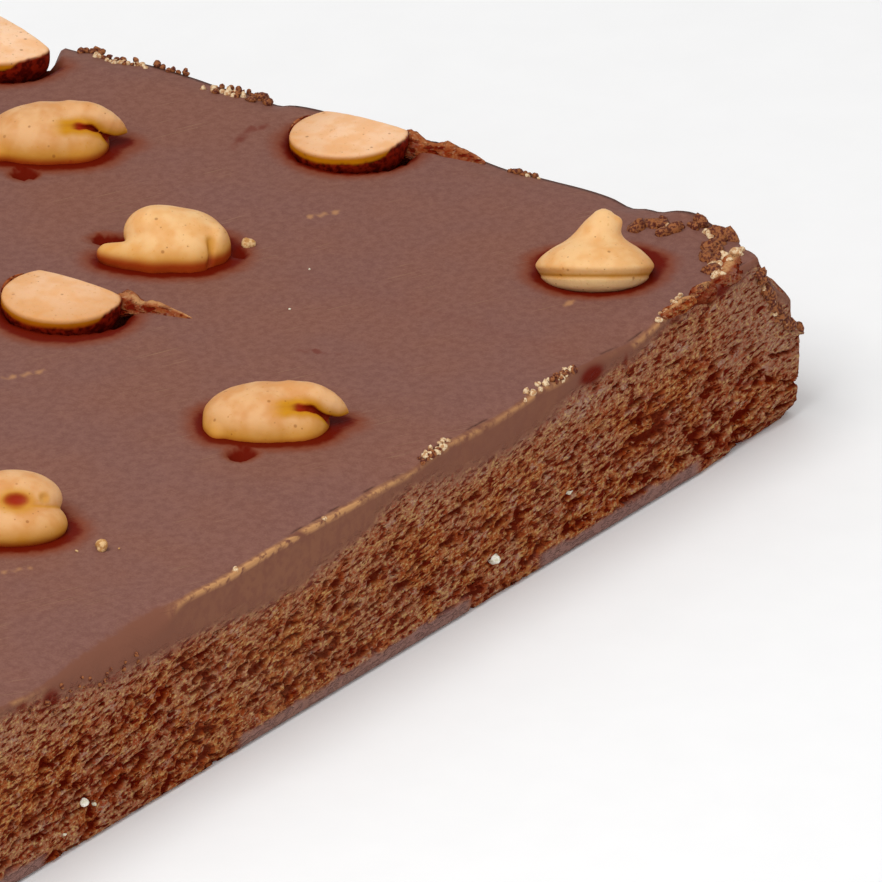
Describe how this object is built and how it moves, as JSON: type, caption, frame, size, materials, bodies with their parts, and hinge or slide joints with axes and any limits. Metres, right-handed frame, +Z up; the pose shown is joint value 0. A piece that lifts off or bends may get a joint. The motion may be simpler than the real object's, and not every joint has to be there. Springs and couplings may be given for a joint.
{
  "type": "chocolate fudge slab",
  "caption": "Thick rectangular slab of chocolate fudge with torn cut faces, a broken corner and drop-shaped peanut butter baking chips pressed into its smooth top.",
  "frame": {"origin": "centre of the flat underside, which rests on the table", "axes": "+X along the long side, towards the broken corner; +Y away from the long cut face that shows; +Z up"},
  "size_m": [0.126, 0.092, 0.0215],
  "materials": {
    "fudge": "satin chocolate fudge, crumbly where cut",
    "chip": "waxy peanut butter confection"
  },
  "bodies": {
    "root": {"fudge_slab": "fudge", "chip_01": "chip", "chip_02": "chip", "chip_03": "chip", "chip_04": "chip", "chip_05": "chip", "chip_06": "chip", "chip_07": "chip", "chip_08": "chip", "chip_09": "chip", "chip_10": "chip", "chip_11": "chip", "chip_12": "chip", "chip_13": "chip", "chip_14": "chip", "chip_15": "chip", "chip_16": "chip", "chip_17": "chip"}
  },
  "joints": []
}
